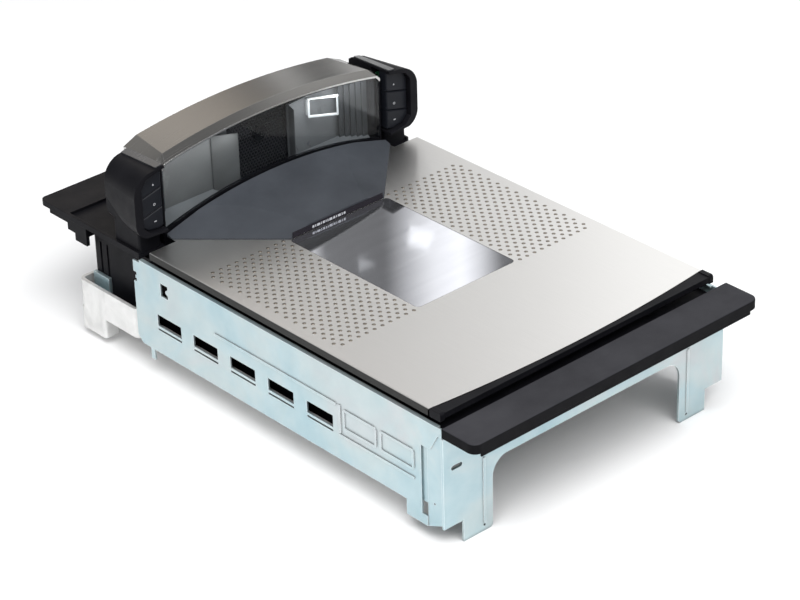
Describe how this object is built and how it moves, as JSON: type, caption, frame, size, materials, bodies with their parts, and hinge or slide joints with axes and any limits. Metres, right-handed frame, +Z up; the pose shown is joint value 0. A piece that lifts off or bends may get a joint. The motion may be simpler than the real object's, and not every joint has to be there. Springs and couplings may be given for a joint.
{
  "type": "checkout scanner scale",
  "caption": "In-counter bi-optic barcode scanner with an arched upright window, a lift-off stainless weighing platter, press keys and a flip-up front bar.",
  "frame": {"origin": "middle of the footprint at the level of the foot bottoms", "axes": "+X to the cashier's right, +Y from the cashier's ledge towards the tower, +Z up"},
  "size_m": [0.294, 0.513, 0.1864],
  "materials": {
    "plated_steel": "satin zinc plate",
    "stainless": "brushed",
    "cast_aluminium": "as cast",
    "black_plastic": "fine texture",
    "charcoal_plastic": "satin",
    "slate_plastic": "satin",
    "gloss_black": "gloss",
    "key_plastic": "satin",
    "lamp_lens": "gloss",
    "scan_glass": "hard coated",
    "clear_glass": "clear",
    "mirror": "polished",
    "white_plastic": "satin",
    "circuit_board": "lacquered",
    "rubber": "matte",
    "screw_steel": "bright"
  },
  "bodies": {
    "base": {"button_board_left": "circuit_board", "button_board_right": "circuit_board", "centre_baffle": "black_plastic", "chassis_casting": "cast_aluminium", "connector_panel": "plated_steel", "deck_screws": "screw_steel", "end_cap_left": "black_plastic", "end_cap_right": "black_plastic", "front_bracket": "plated_steel", "front_gap_seal": "black_plastic", "glass_gasket": "rubber", "ground_bracket": "plated_steel", "horizontal_glass": "clear_glass", "ledge_cover": "charcoal_plastic", "light_board": "circuit_board", "load_cell": "cast_aluminium", "load_cell_block": "cast_aluminium", "lower_housing": "black_plastic", "lower_imager": "black_plastic", "lower_mirror_front": "mirror", "lower_mirror_rear": "mirror", "lower_mirror_side_left": "mirror", "lower_mirror_side_right": "mirror", "main_board": "circuit_board", "mirror_frame": "white_plastic", "optics_deck": "black_plastic", "overload_stops": "screw_steel", "port_sockets": "black_plastic", "read_light_left": "lamp_lens", "read_light_right": "lamp_lens", "rear_tray": "black_plastic", "shield_can": "plated_steel", "side_panel_left": "plated_steel", "side_panel_right": "plated_steel", "speaker": "black_plastic", "tower_bezel": "black_plastic", "tower_glass": "clear_glass", "tower_hood": "stainless", "tower_housing": "black_plastic", "tower_imager": "black_plastic", "tower_mirror_left": "mirror", "tower_mirror_right": "mirror"},
    "scale": {"weigh_spider": "cast_aluminium", "platter_pads": "rubber"},
    "platter": {"platter_plate": "stainless", "window_frame": "black_plastic", "window_glass": "scan_glass", "riser_panel": "slate_plastic", "riser_band": "gloss_black", "lift_bar_end_left": "black_plastic", "lift_bar_end_right": "black_plastic", "lift_bar_pins": "screw_steel"},
    "lift_bar": {"lift_bar": "black_plastic"},
    "button_upper_left": {"button_upper_left": "key_plastic"},
    "button_middle_left": {"button_middle_left": "key_plastic"},
    "button_lower_left": {"button_lower_left": "key_plastic"},
    "button_upper_right": {"button_upper_right": "key_plastic"},
    "button_middle_right": {"button_middle_right": "key_plastic"},
    "button_lower_right": {"button_lower_right": "key_plastic"}
  },
  "joints": [
    {"name": "scale_travel", "type": "slide", "parent": "base", "child": "scale", "axis": [0, 0, -1], "range_m": [0, 0.0005], "stiffness_N_per_m": 300000, "springref_m": -0.00005},
    {"name": "platter_lift_off", "type": "slide", "parent": "scale", "child": "platter", "axis": [0, 0, 1], "range_m": [0, 0.15]},
    {"name": "lift_bar_hinge", "type": "hinge", "parent": "platter", "child": "lift_bar", "pos_m": [0, -0.2134, 0.1062], "axis": [1, 0, 0], "range_deg": [0, 90]},
    {"name": "button_upper_left_press", "type": "slide", "parent": "base", "child": "button_upper_left", "axis": [0, 1, 0], "range_m": [0, 0.0012], "stiffness_N_per_m": 1200, "springref_m": -0.0003},
    {"name": "button_middle_left_press", "type": "slide", "parent": "base", "child": "button_middle_left", "axis": [0, 1, 0], "range_m": [0, 0.0012], "stiffness_N_per_m": 1200, "springref_m": -0.0003},
    {"name": "button_lower_left_press", "type": "slide", "parent": "base", "child": "button_lower_left", "axis": [0, 1, 0], "range_m": [0, 0.0012], "stiffness_N_per_m": 1200, "springref_m": -0.0003},
    {"name": "button_upper_right_press", "type": "slide", "parent": "base", "child": "button_upper_right", "axis": [0, 1, 0], "range_m": [0, 0.0012], "stiffness_N_per_m": 1200, "springref_m": -0.0003},
    {"name": "button_middle_right_press", "type": "slide", "parent": "base", "child": "button_middle_right", "axis": [0, 1, 0], "range_m": [0, 0.0012], "stiffness_N_per_m": 1200, "springref_m": -0.0003},
    {"name": "button_lower_right_press", "type": "slide", "parent": "base", "child": "button_lower_right", "axis": [0, 1, 0], "range_m": [0, 0.0012], "stiffness_N_per_m": 1200, "springref_m": -0.0003}
  ]
}
